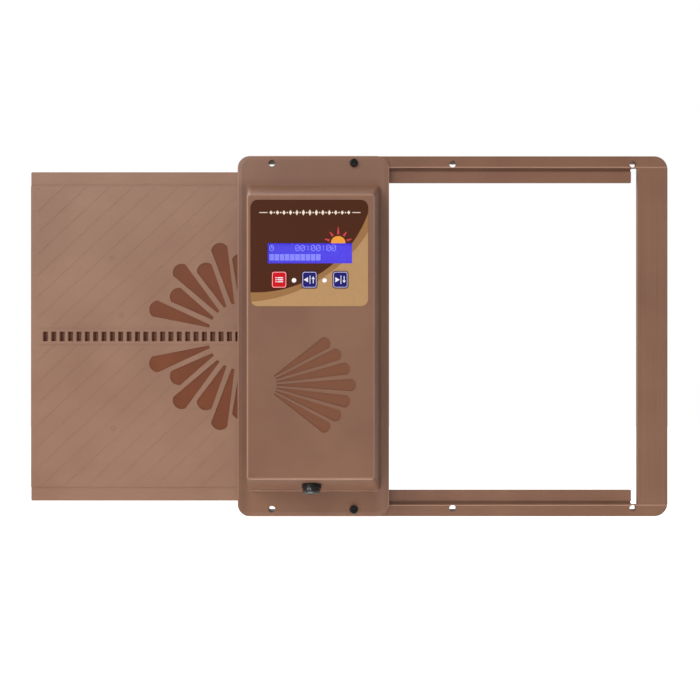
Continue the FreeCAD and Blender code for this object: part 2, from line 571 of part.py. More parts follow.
def make_display_header():
    """The pin strip between the display's board and the control board."""
    y0 = LCD_BACK + LCD_BOARD_T
    strip = box(LCD_CX - 20.3, LCD_CX + 20.3, y0, BOARD_Y0, 69.8, 72.3)
    gaps = [LCD_CX - 20.3 + 2.54 * i for i in range(1, 16)]
    notches = [box(x - 0.25, x + 0.25, y0 - 1, BOARD_Y0 + 1, 69, 70.2) for x in gaps]
    return strip.cut(Part.makeCompound(notches))


def make_control_board():
    """The main board."""
    board = box(BOARD_X0, BOARD_X1, BOARD_Y0, BOARD_Y1, BOARD_Z0, BOARD_Z1)
    holes = [cyl(V(x, BOARD_Y0 - 1, z), 1.4, 4) for x, z in board_screw_places()]
    return board.cut(Part.makeCompound(holes))


def make_board_screws():
    """Four screws through the control board into the cover's posts."""
    return Part.makeCompound([pan_screw(V(x, BOARD_Y1, z), V(0, -1, 0), 2.4, 1.6, 1.1, 8.5, 0.7)
                              for x, z in board_screw_places()])


def make_board_chips():
    """Controller, motor driver, clock and regulator packages on the board's back."""
    y = BOARD_Y1
    return Part.makeCompound([
        box(-108, -98, y, y + 1.6, 56, 66), box(-84, -78, y, y + 1.5, 50, 55),
        box(-114, -109, y, y + 1.5, 70, 74), box(-78, -71, y, y + 4.4, 62, 72),
    ])


def make_board_capacitors():
    """Two electrolytic capacitors by the power terminal."""
    return Part.makeCompound([cyl(V(x, BOARD_Y1, 47.0), r, h)
                              for x, r, h in ((-72.0, 4.0, 9.0), (-94.0, 3.1, 7.0))])


def make_cell_holder():
    """The holder of the clock's coin cell."""
    ring = cyl(V(-127, BOARD_Y1, 70), 11.4, 4.2)
    ring = ring.cut(cyl(V(-127, BOARD_Y1 + 0.8, 70), 10.2, 5))
    return ring.cut(box(-130, -124, BOARD_Y1 + 0.8, BOARD_Y1 + 5, 55, 62))


def make_coin_cell():
    """The clock's coin cell."""
    return cyl(V(-127, BOARD_Y1 + 0.8, 70), 10.0, 3.2)


def make_board_terminals():
    """The power and the motor terminal, each with two wire openings facing down."""
    blocks = []
    for x in TERMINAL_XS:
        block = box(x - 5, x + 5, BOARD_Y1, BOARD_Y1 + 9, TERMINAL_Z0, TERMINAL_Z1)
        holes = [box(x + d - 1.5, x + d + 1.5, BOARD_Y1 + 1.5, BOARD_Y1 + 4.8,
                     TERMINAL_Z0 - 1, TERMINAL_Z0 + 4) for d in (-2.5, 2.5)]
        heads = [cyl(V(x + d, BOARD_Y1 + 8.2, 34.5), 1.5, 2) for d in (-2.5, 2.5)]
        blocks.append(block.cut(Part.makeCompound(holes + heads)))
    return Part.makeCompound(blocks)


# ---- drive ----
def drive_cyl(z0, z1, radius):
    """A cylinder on the pinion's axis."""
    return cyl(V(PINION_X, PINION_Y, z0), radius, z1 - z0, Z_AXIS)


def involute_flank(base_r, r0, r1, offset, side):
    """One flank of a tooth as a smooth curve, from radius r0 to r1."""
    points = []
    for i in range(6):
        r = r0 + (r1 - r0) * i / 5
        roll = math.sqrt(max(0.0, (r / base_r) ** 2 - 1))
        turn = side * (offset - (roll - math.atan(roll)))
        points.append(V(r * math.sin(turn), r * math.cos(turn), 0))
    return points


def make_rack_pinion():
    """The moulded pinion, in mesh with the door's rack, with a hub for its set screw."""
    base_r = PITCH_R * math.cos(PRESSURE)
    tip_r, root_r = PITCH_R + 1.2, PITCH_R - 1.6
    involute_pitch = math.tan(PRESSURE) - PRESSURE
    half_tooth = (MODULE * math.pi / 2 - BACKLASH) / (2 * PITCH_R)
    offset = half_tooth + involute_pitch
    edges, previous = [], None
    first = None
    for i in range(TEETH):
        spin = FreeCAD.Rotation(Z_AXIS, -360.0 * i / TEETH)
        rising = [spin.multVec(p) for p in involute_flank(base_r, max(base_r, root_r), tip_r, offset, -1)]
        falling = [spin.multVec(p) for p in involute_flank(base_r, max(base_r, root_r), tip_r, offset, 1)]
        root_a = V(rising[0]).normalize() * root_r
        root_b = V(falling[0]).normalize() * root_r
        if previous is not None:
            edges.append(Part.makeLine(previous, root_a))
        else:
            first = root_a
        edges.append(Part.makeLine(root_a, rising[0]))
        up, down = Part.BSplineCurve(), Part.BSplineCurve()
        up.interpolate(rising)
        down.interpolate(falling[::-1])
        middle = spin.multVec(V(0, tip_r, 0))
        edges += [up.toShape(), Part.Arc(rising[-1], middle, falling[-1]).toShape(), down.toShape()]
        edges.append(Part.makeLine(falling[0], root_b))
        previous = root_b
    edges.append(Part.makeLine(previous, first))
    gear = Part.Face(Part.Wire(edges)).extrude(V(0, 0, PINION_FACE))
    gear.translate(V(PINION_X, PINION_Y, -PINION_FACE / 2))
    gear = fuse([gear, drive_cyl(0, HUB_TOP, 6.0)])
    cuts = [drive_cyl(-PINION_FACE, HUB_TOP + 1, SHAFT_R + 0.02)]
    cuts.append(cyl(V(PINION_X, PINION_Y, 6.2), 1.5, 8, V(0, -1, 0)))
    cuts.append(drive_cyl(PINION_FACE / 2 - 1.6, PINION_FACE / 2 + 0.01, 14.0).cut(
        drive_cyl(0, HUB_TOP, 7.5)))
    return gear.cut(Part.makeCompound(cuts))


def make_pinion_set_screw():
    """The grub screw that holds the pinion on the shaft."""
    screw = cyl(V(PINION_X, PINION_Y - SHAFT_R - 0.05, 6.2), 1.46, 3.7, V(0, -1, 0))
    return screw.cut(cyl(V(PINION_X, PINION_Y - 4.4, 6.2), 0.75, 3, V(0, -1, 0)))


def make_output_shaft():
    """The gearmotor's output shaft, from its gearbox to the top bush."""
    shaft = drive_cyl(GEARBOX_TOP - 6.0, ARM_Z + BRACKET_T + 2.0, SHAFT_R)
    tip = [e for e in shaft.Edges if abs(e.CenterOfMass.z - (ARM_Z + BRACKET_T + 2.0)) < 1e-6]
    return shaft.makeChamfer(0.4, tip)


def make_gearbox():
    """The gearmotor's round gearbox, with its front boss."""
    body = drive_cyl(GEARBOX_TOP - GEARBOX_H, GEARBOX_TOP, GEARBOX_R)
    body = body.fuse(drive_cyl(GEARBOX_TOP, GEARBOX_TOP + 2.5, 3.5)).removeSplitter()
    cuts = [drive_cyl(GEARBOX_TOP - 6.2, GEARBOX_TOP + 3, SHAFT_R + 0.05)]
    cuts += [cyl(V(PINION_X + s * 8.5, PINION_Y, GEARBOX_TOP - 4.2), 1.3, 5, Z_AXIS) for s in (-1, 1)]
    cuts += [drive_cyl(z, z + 0.4, GEARBOX_R + 0.5).cut(drive_cyl(z - 1, z + 1, GEARBOX_R - 0.3))
             for z in (-11.5, -23.5)]
    return body.cut(Part.makeCompound(cuts))


def make_motor_can():
    """The motor's steel can, with its two crimped flats."""
    can = drive_cyl(MOTOR_BOTTOM, GEARBOX_TOP - GEARBOX_H, MOTOR_R)
    flats = [box(x, x + 2, PINION_Y - 13, PINION_Y + 13, MOTOR_BOTTOM - 1, GEARBOX_TOP - GEARBOX_H - 3)
             for x in (PINION_X - 13.2, PINION_X + 11.2)]
    return can.cut(Part.makeCompound(flats))


def make_motor_end_cap():
    """The motor's plastic end cap with its bearing boss."""
    cap = drive_cyl(MOTOR_BOTTOM - 2.0, MOTOR_BOTTOM, 10.0)
    return cap.fuse(drive_cyl(MOTOR_BOTTOM - 4.0, MOTOR_BOTTOM - 2.0, 3.2)).removeSplitter()


def motor_tab_places():
    """Where the motor's two terminals leave its end cap."""
    return [V(PINION_X + s * 6.8, PINION_Y, MOTOR_BOTTOM - 2.0) for s in (-1, 1)]


def make_motor_terminals():
    """The motor's two flat terminals."""
    return Part.makeCompound([box(p.x - 0.25, p.x + 0.25, p.y - 1.4, p.y + 1.4, p.z - 5.0, p.z)
                              for p in motor_tab_places()])


def make_motor_bracket():
    """The folded steel bracket: an arm under the gearbox's face, an arm for the bush, two feet."""
    y0, y1 = PAD_Y - BRACKET_T, PAD_Y
    feet = []
    for s in (-1, 1):
        near, far = sorted((PINION_X + s * 17.5, PINION_X + s * 25.0))
        feet.append(along(box(near, far, y0, y1, -18.5, 22.5), Y_AXIS, 1.5))
    low = along(box(PINION_X - 25, PINION_X + 25, PINION_Y - 13.5, y1, GEARBOX_TOP, GEARBOX_TOP + BRACKET_T),
                Z_AXIS, 0.6)
    high = along(box(PINION_X - 25, PINION_X + 25, PINION_Y - 8.0, y1, ARM_Z, ARM_Z + BRACKET_T), Z_AXIS, 0.6)
    bracket = fuse([low, high] + feet)
    cuts = [drive_cyl(GEARBOX_TOP - 1, GEARBOX_TOP + 3, 3.6), drive_cyl(ARM_Z - 1, ARM_Z + 3, 3.5)]
    cuts += [cyl(V(PINION_X + s * 8.5, PINION_Y, GEARBOX_TOP - 1), 1.6, 4, Z_AXIS) for s in (-1, 1)]
    cuts += [cyl(V(x, y0 - 1, z), 1.6, 4) for x, z in bracket_screw_places()]
    return bracket.cut(Part.makeCompound(cuts))


def make_shaft_bush():
    """The flanged brass bush at the top of the shaft."""
    bush = drive_cyl(ARM_Z, ARM_Z + BRACKET_T + 1.6, 3.48).fuse(drive_cyl(ARM_Z - 0.9, ARM_Z, 4.6))
    return bush.removeSplitter().cut(drive_cyl(0, 30, SHAFT_R + 0.04))


def make_gearbox_screws():
    """The two screws that hold the gearbox to the bracket."""
    z = GEARBOX_TOP + BRACKET_T
    return Part.makeCompound([pan_screw(V(PINION_X + s * 8.5, PINION_Y, z), V(0, 0, -1),
                                        2.4, 1.3, 1.25, 5.0, 0.7) for s in (-1, 1)])


def make_bracket_screws():
    """The four screws that hold the bracket to the frame's web."""
    return Part.makeCompound([pan_screw(V(x, PAD_Y - BRACKET_T, z), Y_AXIS, 2.8, 1.8, 1.25, 4.5, 0.8)
                              for x, z in bracket_screw_places()])


# ---- power inlet ----
def socket_part(start, end, radius):
    """A cylinder on the power socket's axis, between two distances outside the wall."""
    return cyl(SOCKET_AT + SOCKET_OUT * start, radius, end - start, SOCKET_OUT)


def make_power_socket():
    """The round DC inlet: a flange outside, a barrel through the wall, a blind bore."""
    body = socket_part(SOCKET_SEAL_T, SOCKET_FACE, SOCKET_R)
    lip = [e for e in body.Edges if e.Curve.TypeId == "Part::GeomCircle"
           and (e.CenterOfMass - SOCKET_AT).dot(SOCKET_OUT) > SOCKET_FACE - 0.01]
    body = body.makeFillet(0.5, lip)
    body = fuse([body, socket_part(-11.0, SOCKET_SEAL_T + 0.5, BARREL_R)])
    return body.cut(socket_part(-8.5, SOCKET_FACE + 1, 3.0)).cut(socket_part(-12.0, 0.0, PIN_R + 0.02))


def make_socket_pin():
    """The socket's centre contact."""
    pin = socket_part(-13.0, 1.5, PIN_R)
    tip = [e for e in pin.Edges if e.Curve.TypeId == "Part::GeomCircle"
           and (e.CenterOfMass - SOCKET_AT).dot(SOCKET_OUT) > 1.4]
    return pin.makeFillet(0.5, tip)


def make_socket_tag():
    """The socket's outer contact tag."""
    side = SOCKET_OUT.cross(X_AXIS)
    at = SOCKET_AT + SOCKET_OUT * -15.0 + X_AXIS * 3.6
    tag = Part.Face(Part.makePolygon([
        at - side * 0.9, at + side * 0.9, at + side * 0.9 + X_AXIS * 0.5, at - side * 0.9 + X_AXIS * 0.5,
        at - side * 0.9,
    ]))
    return tag.extrude(SOCKET_OUT * 4.0)


def make_socket_seal():
    """The rubber washer under the socket's flange."""
    return socket_part(0.0, SOCKET_SEAL_T, SOCKET_R).cut(socket_part(-1, 2, BARREL_R + 0.1))


def make_socket_nut():
    """The hexagonal nut inside the wall."""
    start = SOCKET_AT + SOCKET_OUT * (INNER_WALL - 2.6)
    side = SOCKET_OUT.cross(X_AXIS)
    corners = [start + (X_AXIS * math.cos(math.radians(60 * i)) + side * math.sin(math.radians(60 * i))) * 8.0
               for i in range(7)]
    nut = Part.Face(Part.makePolygon(corners)).extrude(SOCKET_OUT * 2.5)
    return nut.cut(socket_part(-20, 5, BARREL_R + 0.06))


def make_socket_cap():
    """The rubber cap over the socket, with a plug in its bore and a grip ridge."""
    cap = socket_part(SOCKET_FACE + 0.1, SOCKET_FACE + CAP_LENGTH, CAP_R)
    end = [e for e in cap.Edges if e.Curve.TypeId == "Part::GeomCircle"
           and (e.CenterOfMass - SOCKET_AT).dot(SOCKET_OUT) > SOCKET_FACE + CAP_LENGTH - 0.1]
    cap = cap.makeFillet(CAP_DOME, end)
    ring = socket_part(SOCKET_FACE + 0.7, SOCKET_FACE + 1.4, CAP_R + 0.5)
    tab = socket_part(SOCKET_FACE + 0.4, SOCKET_FACE + 2.4, 1.9)
    tab.translate(V(0, -5.2 * math.cos(SLOPE), 5.2 * math.sin(SLOPE)))
    plug = socket_part(-2.0, SOCKET_FACE + 0.3, 2.7)
    return fuse([cap, ring, tab, plug]).cut(socket_part(-3, 2.5, 1.3))


# ---- wiring inside the cover ----
def make_motor_leads():
    """Two leads from the motor's terminals up to the board."""
    leads = []
    for s, tab in zip((-1, 1), motor_tab_places()):
        end = V(TERMINAL_XS[1] + s * 2.5, BOARD_Y1 + 3.1, TERMINAL_Z0 + 3.0)
        side_x = PINION_X + s * 30.0
        leads.append(lead([
            tab + V(s * 1.2, 0, -3.0), V(side_x - s * 10, PINION_Y, tab.z - 12.0),
            V(side_x, PINION_Y - 4, tab.z + 10), V(side_x, PINION_Y - 4, 17.0), V(end.x, end.y, 22.0), end,
        ], 4.0, 0.75))
    return Part.makeCompound(leads)


def make_power_leads():
    """Two leads from the socket up to the board."""
    tags = (SOCKET_AT - SOCKET_OUT * 13.1, SOCKET_AT - SOCKET_OUT * 15.1 + X_AXIS * 3.85)
    leads = []
    for i, tag in enumerate(tags):
        end = V(TERMINAL_XS[0] + (2.5 if i else -2.5), BOARD_Y1 + 3.1, TERMINAL_Z0 + 3.0)
        run_x = -134.0 + 3.5 * i
        leads.append(lead([
            tag, tag - SOCKET_OUT * 8.0, V(run_x, -16.0, -72.0 + 6 * i), V(run_x, -16.0, 8.0 - 4 * i),
            V(end.x, end.y, 18.0), end,
        ], 3.6, 0.75))
    return Part.makeCompound(leads)


PIECES = {
    "door_frame": make_door_frame,
    "back_plate": make_back_plate,
    "back_screws": make_back_screws,
    "door_panel": make_door_panel,
    "front_cover": make_front_cover,
    "cover_gasket": lambda: gasket_ring(0.0),
    "cover_screws": make_cover_screws,
    "control_label": make_label,
    "display_window": make_display_window,
    "display_bezel": make_display_bezel,
    "display_glass": make_display_glass,
    "display_backlight": make_display_backlight,
    "display_board": make_display_board,
    "display_header": make_display_header,
    "control_board": make_control_board,
    "board_screws": make_board_screws,
    "board_chips": make_board_chips,
    "board_capacitors": make_board_capacitors,
    "board_terminals": make_board_terminals,
    "cell_holder": make_cell_holder,
    "coin_cell": make_coin_cell,
    "key_switches": make_tact_switches,
    "status_lamps": make_status_lamps,
    "rack_pinion": make_rack_pinion,
    "pinion_set_screw": make_pinion_set_screw,
    "output_shaft": make_output_shaft,
    "gearbox": make_gearbox,
    "motor_can": make_motor_can,
    "motor_end_cap": make_motor_end_cap,
    "motor_terminals": make_motor_terminals,
    "motor_bracket": make_motor_bracket,
    "shaft_bush": make_shaft_bush,
    "gearbox_screws": make_gearbox_screws,
    "bracket_screws": make_bracket_screws,
    "power_socket": make_power_socket,
    "socket_pin": make_socket_pin,
    "socket_tag": make_socket_tag,
    "socket_seal": make_socket_seal,
    "socket_nut": make_socket_nut,
    "socket_cap": make_socket_cap,
    "motor_leads": make_motor_leads,
    "power_leads": make_power_leads,
}
for key_name, key_x in KEY_XS.items():
    PIECES["key_" + key_name] = lambda x=key_x: make_key(x)

os.makedirs("parts", exist_ok=True)
for name, make in PIECES.items():
    shape = make()
    print(f"{name:18s} solids {len(shape.Solids)} valid {shape.isValid()} volume {shape.Volume:10.1f}")
    shape.exportStep(f"parts/{name}.step")
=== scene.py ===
"""Looks for the automatic coop door: moulded plastic, printed label, lit display, keys and metal parts."""

import math

import bmesh
import bpy
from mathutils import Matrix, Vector


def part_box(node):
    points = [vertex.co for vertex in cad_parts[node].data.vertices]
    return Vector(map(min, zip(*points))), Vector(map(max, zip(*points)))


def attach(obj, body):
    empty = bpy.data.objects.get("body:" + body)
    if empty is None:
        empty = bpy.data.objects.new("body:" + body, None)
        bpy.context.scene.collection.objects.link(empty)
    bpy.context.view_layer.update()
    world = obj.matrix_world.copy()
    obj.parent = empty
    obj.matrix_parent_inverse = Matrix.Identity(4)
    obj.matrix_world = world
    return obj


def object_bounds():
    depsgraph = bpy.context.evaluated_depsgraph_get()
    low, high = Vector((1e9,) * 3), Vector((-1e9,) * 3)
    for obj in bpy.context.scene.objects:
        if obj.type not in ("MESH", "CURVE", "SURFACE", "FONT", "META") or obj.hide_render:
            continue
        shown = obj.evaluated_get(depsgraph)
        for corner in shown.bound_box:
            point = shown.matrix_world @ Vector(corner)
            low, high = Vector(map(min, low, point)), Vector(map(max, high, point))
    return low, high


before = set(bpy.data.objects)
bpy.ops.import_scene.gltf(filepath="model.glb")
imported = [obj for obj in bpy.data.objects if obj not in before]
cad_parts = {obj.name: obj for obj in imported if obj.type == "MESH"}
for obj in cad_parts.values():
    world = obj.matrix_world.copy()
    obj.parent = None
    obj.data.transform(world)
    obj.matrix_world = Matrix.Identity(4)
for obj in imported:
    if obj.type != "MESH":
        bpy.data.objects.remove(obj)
cad_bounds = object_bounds()

MM = 0.001
SKIM = 0.04 * MM          # how far printing stands on the film
BOX_HEIGHT = 40.0 * MM    # from the box's face back to the flange's face
BOX_CENTRE_X, BOX_CENTRE_Z = -102.9 * MM, -1.3 * MM
BOX_FACE_X, BOX_FACE_Z = 43.6 * MM, 97.0 * MM
SUNK = 0.4 * MM           # how deep the ornaments are sunk
DOOR_MOTIF_X = (-240 * MM, -70 * MM)
FAN_Z = (-82 * MM, 12 * MM)
MARK_DEPTH = 0.12 * MM
KEY_POWER = 12.0
LOW_POWER = 4.6
FILL_POWER = 2.6
REAR_POWER = 12.0
CAMERA_AT = (-0.0763, -0.5015, -0.0102)
CAMERA_LENS = 34.7
FLOOR_DROP = 0.62         # from the part's lowest point down to the floor
LEFT_GLOW, TOP_GLOW, BACK_GLOW, BASE_GLOW, FRONT_DIM = 0.50, 0.45, 0.10, 0.18, 0.12


# ---- colours, linear ----
def srgb(red, green, blue):
    """A linear colour from 8-bit display values."""
    linear = []
    for value in (red, green, blue):
        share = value / 255
        linear.append(share / 12.92 if share <= 0.04045 else ((share + 0.055) / 1.055) ** 2.4)
    return (*linear, 1.0)


COVER_BROWN = srgb(138, 98, 75)
COVER_RED = srgb(129, 88, 69)
FRAME_BROWN = srgb(141, 101, 79)
FRAME_RED = srgb(131, 91, 71)
DOOR_BROWN = srgb(156, 118, 96)
DOOR_RED = srgb(148, 109, 88)
MOTIF_BROWN = srgb(121, 61, 25)
MOTIF_SHADE = srgb(113, 56, 24)
# painted shade: the dark brown painted into the rack's pockets
POCKET_PAINTED_SHADE = srgb(116, 72, 53)
FAN_BROWN = srgb(122, 72, 44)
# painted shade: the darker brown painted on the cover flange's left edge
FLANGE_PAINTED_SHADE = srgb(84, 56, 42)
EDGE_HIGHLIGHT_TINT = 2.1           # painted highlight: rounded edges painted paler, standing in for the light they catch
LABEL_DARK = srgb(77, 36, 14)
LABEL_MID = srgb(162, 117, 72)
LABEL_LIGHT = srgb(190, 149, 103)
CREAM = srgb(244, 226, 208)
WHITE_INK = srgb(245, 240, 246)
KEY_RED = srgb(216, 8, 26)
KEY_BLUE = srgb(26, 23, 116)
DISPLAY_BLUE = srgb(52, 34, 238)
DISPLAY_DEEP = srgb(62, 22, 246)
DISPLAY_DOT = srgb(128, 130, 255)
SUN_ORANGE = srgb(246, 158, 38)
SUN_RED = srgb(214, 44, 58)


def scaled(colour, times):
    """A colour made darker or lighter."""
    return tuple(min(1.0, c * times) for c in colour[:3]) + (1.0,)


def paler(colour, times):
    """A colour made lighter, and a little greyer."""
    grey = sum(colour[:3]) / 3
    return tuple(min(1.0, (c * 0.8 + grey * 0.2) * times) for c in colour[:3]) + (1.0,)


# ---- node helpers ----
def new_material(name):
    """A node material, its tree and its shader."""
    material = bpy.data.materials.new(name)
    material.use_nodes = True
    return material, material.node_tree, material.node_tree.nodes["Principled BSDF"]


def node(tree, kind, settings, inputs):
    """A node with its settings, and its inputs as values or as other nodes' outputs."""
    made = tree.nodes.new(kind)
    for key, value in settings.items():
        setattr(made, key, value)
    for key, value in inputs.items():
        if isinstance(value, bpy.types.NodeSocket):
            tree.links.new(value, made.inputs[key])
        else:
            made.inputs[key].default_value = value
    return made


def place(tree):
    """The point in the part's own frame at rest, in metres."""
    return node(tree, "ShaderNodeTexCoord", {}, {}).outputs["Object"]


def stretched(tree, point, scale):
    """The point with each axis scaled."""
    return node(tree, "ShaderNodeMapping", {}, {"Vector": point, "Scale": scale}).outputs["Vector"]


def noise(tree, point, scale, detail=2.0, rough=0.5):
    """Noise from 0 to 1, with features about 1/scale metres across."""
    made = node(tree, "ShaderNodeTexNoise", {}, {"Vector": point, "Scale": scale, "Detail": detail,
                                                 "Roughness": rough})
    return made.outputs["Fac"]


def calc(tree, operation, first, second=0.0):
    """One sum on two numbers."""
    return node(tree, "ShaderNodeMath", {"operation": operation}, {0: first, 1: second}).outputs[0]


def remap(tree, value, low, high, to_low=0.0, to_high=1.0):
    """A number moved from one range to another, and kept inside it."""
    inputs = {"Value": value, "From Min": low, "From Max": high, "To Min": to_low, "To Max": to_high}
    return node(tree, "ShaderNodeMapRange", {}, inputs).outputs["Result"]


def mix(tree, share, first, second):
    """A colour between two."""
    made = node(tree, "ShaderNodeMix", {"data_type": "RGBA"}, {0: share, 6: first, 7: second})
    return made.outputs[2]


def axes(tree, point):
    """The point's x, y and z."""
    return node(tree, "ShaderNodeSeparateXYZ", {}, {0: point}).outputs


def inside(tree, value, low, high, soft=0.02 * MM):
    """1 where low < value < high, with a thin soft edge."""
    up = remap(tree, value, low - soft, low + soft)
    down = remap(tree, value, high - soft, high + soft, 1.0, 0.0)
    return calc(tree, "MULTIPLY", up, down)


def around(tree, point, x, z):
    """How far the point is from (x, z), looking along Y."""
    flat = stretched(tree, point, (1.0, 0.0, 1.0))
    inputs = {0: flat, 1: (x, 0.0, z)}
    return node(tree, "ShaderNodeVectorMath", {"operation": "DISTANCE"}, inputs).outputs["Value"]


def bumps(tree, shader, layers):
    """Several heights, as (height, strength, distance), one on another."""
    normal = None
    for height, strength, distance in layers:
        inputs = {"Height": height, "Strength": strength, "Distance": distance}
        if normal is not None:
            inputs["Normal"] = normal
        normal = node(tree, "ShaderNodeBump", {}, inputs).outputs["Normal"]
    tree.links.new(normal, shader.inputs["Normal"])


# ---- materials ----
def moulded(name, colour, shade, rough, paint=None, grain=2400.0):
    """Satin moulded plastic: faint flow clouds, fine spark-eroded grain, uneven gloss."""
    material, tree, shader = new_material(name)
    point = place(tree)
    cloud = remap(tree, noise(tree, point, 17.0, 3.0), 0.38, 0.64)
    base = mix(tree, cloud, colour, shade)
    flow = remap(tree, noise(tree, stretched(tree, point, (9.0, 9.0, 140.0)), 1.0, 3.0), 0.3, 0.7)
    base = mix(tree, calc(tree, "MULTIPLY", flow, 0.16), base, scaled(colour, 0.8))
    speck = remap(tree, noise(tree, point, 900.0, 1.0), 0.66, 0.78)
    base = mix(tree, calc(tree, "MULTIPLY", speck, 0.10), base, scaled(colour, 1.5))
    if paint is not None:
        base = paint(tree, point, base)
    tree.links.new(base, shader.inputs["Base Color"])
    gloss = remap(tree, noise(tree, point, 75.0, 4.0), 0.3, 0.7, rough - 0.05, rough + 0.06)
    tree.links.new(gloss, shader.inputs["Roughness"])
    shader.inputs["Specular IOR Level"].default_value = 0.42
    waves, fine = noise(tree, point, 210.0, 2.0), noise(tree, point, grain, 2.0)
    bumps(tree, shader, [(waves, 0.10, 0.12 * MM), (fine, 0.28, 0.03 * MM)])
    return material


def glossy(name, colour, rough, shift=0.12, coat=0.0, specular=0.5):
    """Smooth plastic, rubber or paint with slight cloudiness."""
    material, tree, shader = new_material(name)
    point = place(tree)
    cloud = remap(tree, noise(tree, point, 320.0, 3.0), 0.35, 0.65)
    tree.links.new(mix(tree, cloud, colour, scaled(colour, 1 - shift)), shader.inputs["Base Color"])
    gloss = remap(tree, noise(tree, point, 700.0, 3.0), 0.3, 0.7, rough * 0.85, rough * 1.2)
    tree.links.new(gloss, shader.inputs["Roughness"])
    shader.inputs["Coat Weight"].default_value = coat
    shader.inputs["Specular IOR Level"].default_value = specular
    bumps(tree, shader, [(noise(tree, point, 1500.0, 2.0), 0.15, 0.02 * MM)])
    return material


def metal(name, colour, rough, scratch):
    """Metal with fine directional marks and uneven brightness."""
    material, tree, shader = new_material(name)
    point = place(tree)
    lines = noise(tree, stretched(tree, point, scratch), 1.0, 3.0)
    stain = remap(tree, noise(tree, point, 180.0, 3.0), 0.35, 0.7)
    base = mix(tree, calc(tree, "MULTIPLY", stain, 0.6), colour, scaled(colour, 0.72))
    tree.links.new(base, shader.inputs["Base Color"])
    shader.inputs["Metallic"].default_value = 1.0
    tree.links.new(remap(tree, lines, 0.3, 0.7, rough * 0.8, rough * 1.3), shader.inputs["Roughness"])
    bumps(tree, shader, [(lines, 0.2, 0.02 * MM)])
    return material


def board_material():
    """Green solder mask over copper tracks."""
    material, tree, shader = new_material("board_solder_mask")
    point = place(tree)
    cells = node(tree, "ShaderNodeTexVoronoi", {"feature": "DISTANCE_TO_EDGE", "distance": "MANHATTAN"},
                 {"Vector": point, "Scale": 190.0, "Randomness": 0.75}).outputs["Distance"]
    track = remap(tree, cells, 0.05, 0.09, 1.0, 0.0)
    base = mix(tree, track, srgb(12, 92, 50), srgb(28, 128, 72))
    tree.links.new(base, shader.inputs["Base Color"])
    shader.inputs["Roughness"].default_value = 0.28
    bumps(tree, shader, [(track, 0.3, 0.04 * MM)])
    return material


def label_material():
    """Printed film: dark brown, with two tan bands bounded by arcs."""
    low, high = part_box("control_label")
    material, tree, shader = new_material("label_print")
    point = place(tree)
    inner, inner_radius = around(tree, point, low.x + 3.3 * MM, high.z + 18.5 * MM), 81.4 * MM
    outer, outer_radius = around(tree, point, low.x - 6.9 * MM, high.z + 33.4 * MM), 102.9 * MM
    edge = 0.09 * MM
    mottle = remap(tree, noise(tree, point, 500.0, 3.0), 0.3, 0.7, 0.0, 0.06)
    base = mix(tree, remap(tree, inner, inner_radius - edge, inner_radius + edge), LABEL_DARK, LABEL_MID)
    base = mix(tree, remap(tree, outer, outer_radius - edge, outer_radius + edge), base, LABEL_LIGHT)
    base = mix(tree, mottle, base, srgb(60, 34, 22))
    tree.links.new(base, shader.inputs["Base Color"])
    gloss = remap(tree, noise(tree, point, 120.0, 3.0), 0.3, 0.7, 0.30, 0.42)
    tree.links.new(gloss, shader.inputs["Roughness"])
    shader.inputs["Specular IOR Level"].default_value = 0.14
    bumps(tree, shader, [(noise(tree, point, 3000.0, 2.0), 0.3, 0.02 * MM)])
    return material


def display_material():
    """The lit cell: strong blue, a little more violet at its right."""
    low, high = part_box("display_glass")
    material, tree, shader = new_material("display_lit_cell")
    point = place(tree)
    across = remap(tree, axes(tree, point)[0], low.x, high.x)
    base = mix(tree, across, DISPLAY_BLUE, DISPLAY_DEEP)
    tree.links.new(mix(tree, 0.75, base, (0.0, 0.0, 0.02, 1.0)), shader.inputs["Base Color"])
    tree.links.new(base, shader.inputs["Emission Color"])
    shader.inputs["Emission Strength"].default_value = 0.68
    shader.inputs["Specular IOR Level"].default_value = 0.2
    tree.links.new(remap(tree, noise(tree, point, 90.0), 0.3, 0.7, 0.18, 0.3), shader.inputs["Roughness"])
    return material


def lit(name, colour, strength):
    """A part of the display or a lamp that gives its own light."""
    material, tree, shader = new_material(name)
    point = place(tree)
    shade = remap(tree, noise(tree, point, 900.0), 0.3, 0.7, 0.0, 0.12)
    base = mix(tree, shade, colour, scaled(colour, 0.8))
    tree.links.new(mix(tree, 0.5, base, (0.0, 0.0, 0.02, 1.0)), shader.inputs["Base Color"])
    tree.links.new(base, shader.inputs["Emission Color"])
    shader.inputs["Emission Strength"].default_value = strength
    shader.inputs["Roughness"].default_value = 0.35
    return material


def lens_material():
    """The clear lens over the display."""
    material, tree, shader = new_material("clear_lens")
    point = place(tree)
    shader.inputs["Base Color"].default_value = (0.85, 0.88, 1.0, 1.0)
    shader.inputs["Alpha"].default_value = 0.03
    shader.inputs["Specular IOR Level"].default_value = 0.3
    tree.links.new(remap(tree, noise(tree, point, 60.0), 0.3, 0.7, 0.05, 0.09), shader.inputs["Roughness"])
    return material


def ink(name, colour, rough=0.4):
    """Screen-printed ink with a slightly uneven body."""
    material, tree, shader = new_material(name)
    point = place(tree)
    mottle = remap(tree, noise(tree, point, 1400.0, 3.0), 0.35, 0.7, 0.0, 0.14)
    base = mix(tree, mottle, colour, scaled(colour, 0.86))
    tree.links.new(base, shader.inputs["Base Color"])
    tree.links.new(remap(tree, mottle, 0.0, 0.14, rough - 0.05, rough + 0.08), shader.inputs["Roughness"])
    return material


